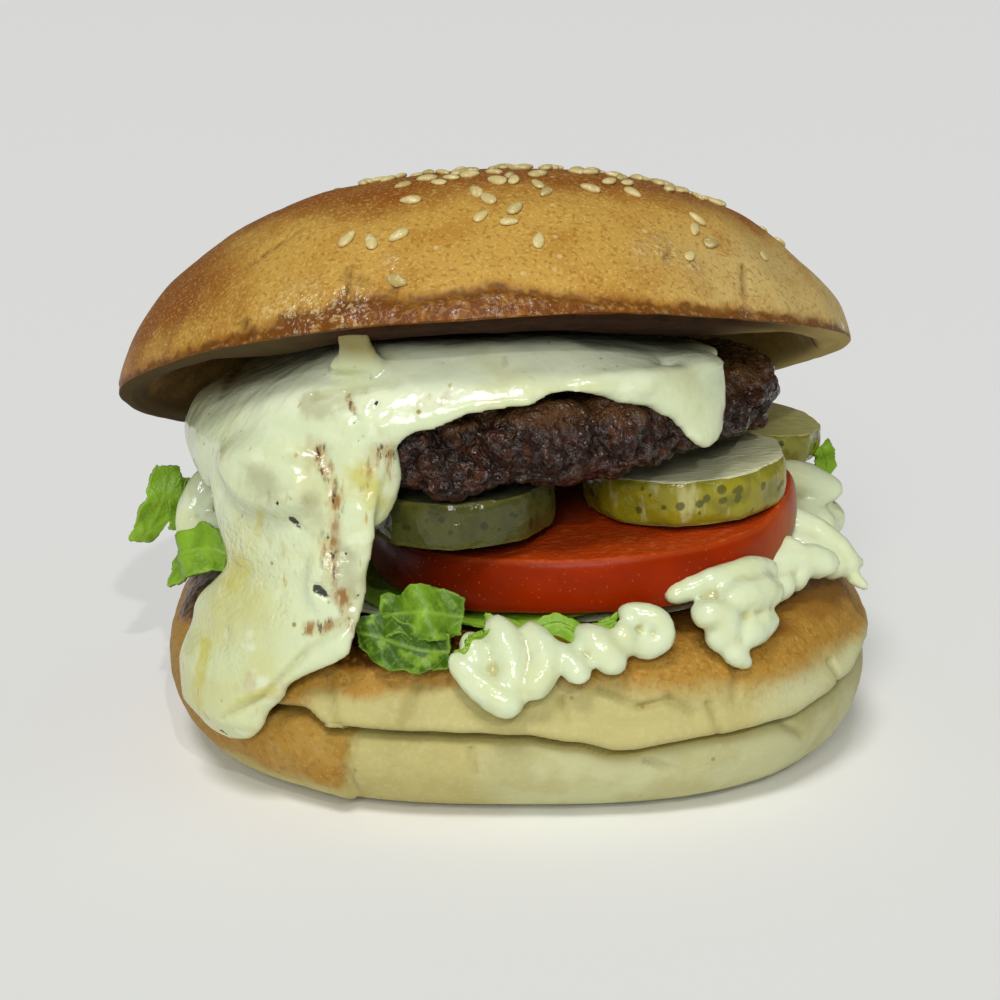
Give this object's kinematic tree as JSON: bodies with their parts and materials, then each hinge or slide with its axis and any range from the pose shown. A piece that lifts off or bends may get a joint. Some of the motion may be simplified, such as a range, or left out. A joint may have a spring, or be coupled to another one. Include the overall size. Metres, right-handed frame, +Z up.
{
  "type": "cheeseburger",
  "caption": "Open-fronted cheeseburger: sesame bun, beef patty, melted cheese running down one side, gherkins, tomato, lettuce and piped mayonnaise.",
  "frame": {"origin": "centre of the flat foot of the heel bun, on the surface it stands on", "axes": "+Z up through the stack, -Y towards the open front where the filling shows, +X to the right seen from the front"},
  "size_m": [0.1184, 0.1158, 0.0907],
  "materials": {
    "heel_bread": "soft steamed bread crust, pale, toasted brown round the cut face",
    "crown_bread": "egg-washed baked crust, golden brown, slightly glossy, cut face toasted dark",
    "beef": "grilled minced beef, craggy, dark brown, wet with fat",
    "cheese": "melted cheese, pale cream, smooth and wet",
    "tomato": "cut tomato, red, wet skin",
    "gherkin": "sliced gherkin, yellow green skin, pale face, wet",
    "mayonnaise": "piped mayonnaise, off-white, glossy",
    "lettuce": "fresh lettuce, bright green, waxy"
  },
  "bodies": {
    "root": {"heel_bun": "heel_bread", "crown_bun": "crown_bread", "patty": "beef", "cheese": "cheese", "tomato": "tomato", "pickle_front_right": "gherkin", "pickle_front_left": "gherkin", "pickle_back_right": "gherkin", "pickle_back_left": "gherkin", "mayonnaise": "mayonnaise", "mayonnaise_left": "mayonnaise", "lettuce_front": "lettuce", "lettuce_small": "lettuce", "lettuce_shred": "lettuce", "lettuce_layer": "lettuce", "lettuce_left": "lettuce", "lettuce_left_low": "lettuce", "lettuce_right": "lettuce"}
  },
  "joints": []
}
